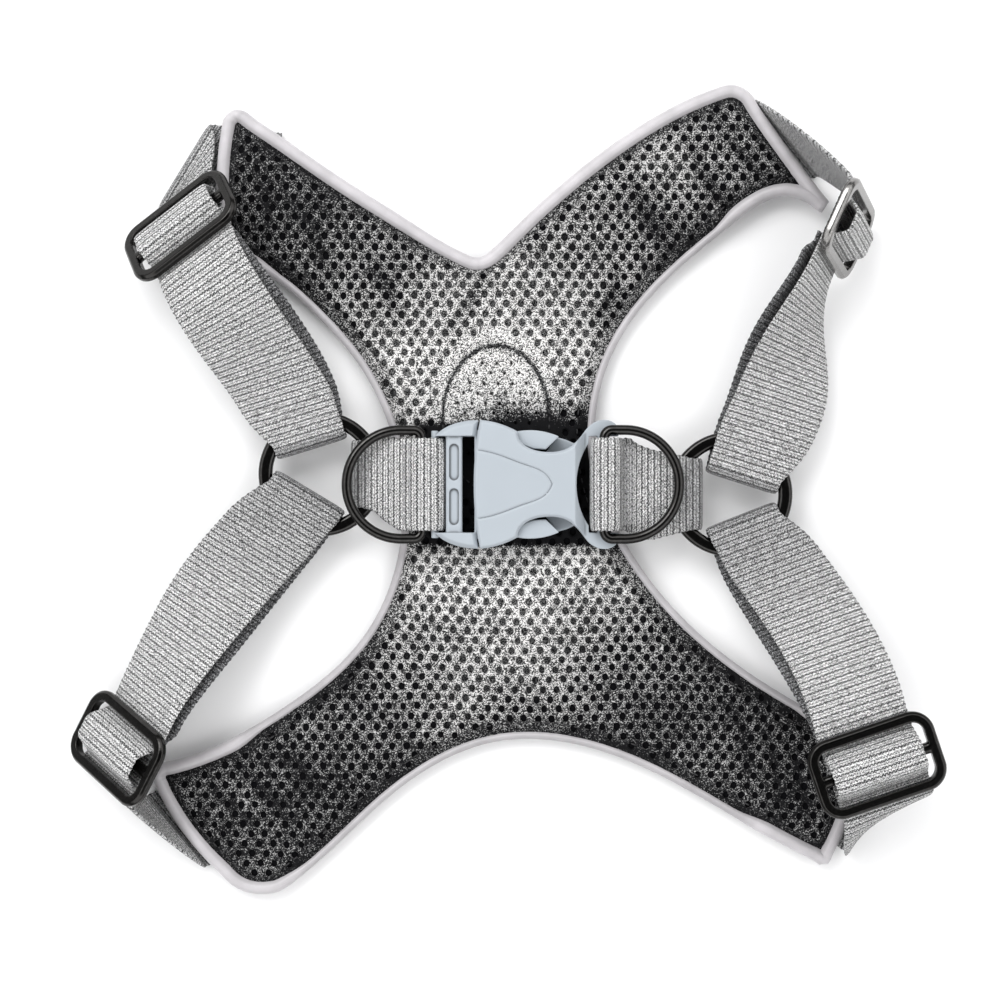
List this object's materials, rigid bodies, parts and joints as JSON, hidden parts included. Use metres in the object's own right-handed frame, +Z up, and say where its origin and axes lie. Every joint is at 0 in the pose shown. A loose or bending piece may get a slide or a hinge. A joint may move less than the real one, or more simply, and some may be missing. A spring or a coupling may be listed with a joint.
{
  "type": "no pull harness",
  "caption": "Soft dog harness lying flat: padded mesh chest plate with four arms, grey webbing straps through black slides and rings, and a side release buckle between leash D-rings.",
  "frame": {"origin": "on the floor under the middle of the whole harness", "axes": "+Z up from the floor, +Y towards the neck edge of the chest plate, +X across the dog, from the plug to the socket of the buckle"},
  "size_m": [0.2347, 0.2222, 0.0345],
  "materials": {
    "badge": "soft matt patch",
    "shell": "plain woven outer cloth",
    "foam": "foam behind the mesh",
    "mesh": "open hexagonal air mesh",
    "piping": "satin bound edge",
    "webbing": "ribbed woven webbing",
    "thread": "thread",
    "buckle_plastic": "fine matt",
    "slide_metal": "gloss black",
    "ring_metal": "gloss black"
  },
  "bodies": {
    "harness": {"outer_badge": "badge", "outer_shell": "shell", "foam_core": "foam", "mesh_lining": "mesh", "edge_piping": "piping", "neck_strap_left": "webbing", "girth_strap_left": "webbing", "neck_strap_right": "webbing", "girth_strap_right": "webbing", "back_strap_right": "webbing", "back_stitching_right": "thread", "buckle_socket": "buckle_plastic"},
    "left_yoke": {"buckle_plug": "buckle_plastic", "back_strap_left": "webbing", "back_stitching_left": "thread"},
    "prong_upper": {"buckle_prong_upper": "buckle_plastic"},
    "prong_lower": {"buckle_prong_lower": "buckle_plastic"},
    "d_left": {"d_ring_left": "ring_metal"},
    "d_right": {"d_ring_right": "ring_metal"},
    "o_left": {"o_ring_left": "ring_metal"},
    "o_right": {"o_ring_right": "ring_metal"},
    "neck_slide_left": {"neck_slide_left": "slide_metal"},
    "girth_slide_left": {"girth_slide_left": "slide_metal"},
    "neck_slide_right": {"neck_slide_right": "slide_metal"},
    "girth_slide_right": {"girth_slide_right": "slide_metal"}
  },
  "joints": [
    {"name": "buckle_release", "type": "slide", "parent": "harness", "child": "left_yoke", "axis": [-1, 0, 0], "range_m": [0, 0.027], "deforming": ["neck_strap_left", "girth_strap_left"]},
    {"name": "prong_upper_press", "type": "hinge", "parent": "left_yoke", "child": "prong_upper", "pos_m": [-0.00368, 0.01395, 0.0112], "axis": [0, 0, -1], "range_deg": [0, 8], "stiffness_Nm_per_rad": 0.5},
    {"name": "prong_lower_press", "type": "hinge", "parent": "left_yoke", "child": "prong_lower", "pos_m": [-0.00368, -0.01125, 0.0112], "axis": [0, 0, 1], "range_deg": [0, 8], "stiffness_Nm_per_rad": 0.5},
    {"name": "d_ring_left_swing", "type": "hinge", "parent": "left_yoke", "child": "d_left", "pos_m": [-0.02068, 0.00135, 0.0112], "axis": [0, 1, 0], "range_deg": [0, 115]},
    {"name": "d_ring_right_swing", "type": "hinge", "parent": "harness", "child": "d_right", "pos_m": [0.02852, 0.00135, 0.0143], "axis": [0, -1, 0], "range_deg": [0, 145]},
    {"name": "o_ring_left_turn", "type": "hinge", "parent": "left_yoke", "child": "o_left", "pos_m": [-0.04828, 0.00424, 0.0075], "axis": [0, 0, 1], "continuous": true},
    {"name": "o_ring_right_turn", "type": "hinge", "parent": "harness", "child": "o_right", "pos_m": [0.06312, -0.00126, 0.0075], "axis": [0, 0, 1], "continuous": true},
    {"name": "neck_adjust_left", "type": "slide", "parent": "harness", "child": "neck_slide_left", "axis": [0.4693, -0.8829, 0.0152], "range_m": [0, 0.02], "deforming": ["neck_strap_left"]},
    {"name": "girth_adjust_left", "type": "slide", "parent": "harness", "child": "girth_slide_left", "axis": [0.4752, 0.8764, -0.0787], "range_m": [0, 0.02], "deforming": ["girth_strap_left"]},
    {"name": "neck_adjust_right", "type": "slide", "parent": "harness", "child": "neck_slide_right", "axis": [-0.2921, -0.9317, -0.2158], "range_m": [0, 0.02], "deforming": ["neck_strap_right"]},
    {"name": "girth_adjust_right", "type": "slide", "parent": "harness", "child": "girth_slide_right", "axis": [-0.3055, 0.9123, -0.2727], "range_m": [0, 0.02], "deforming": ["girth_strap_right"]}
  ]
}
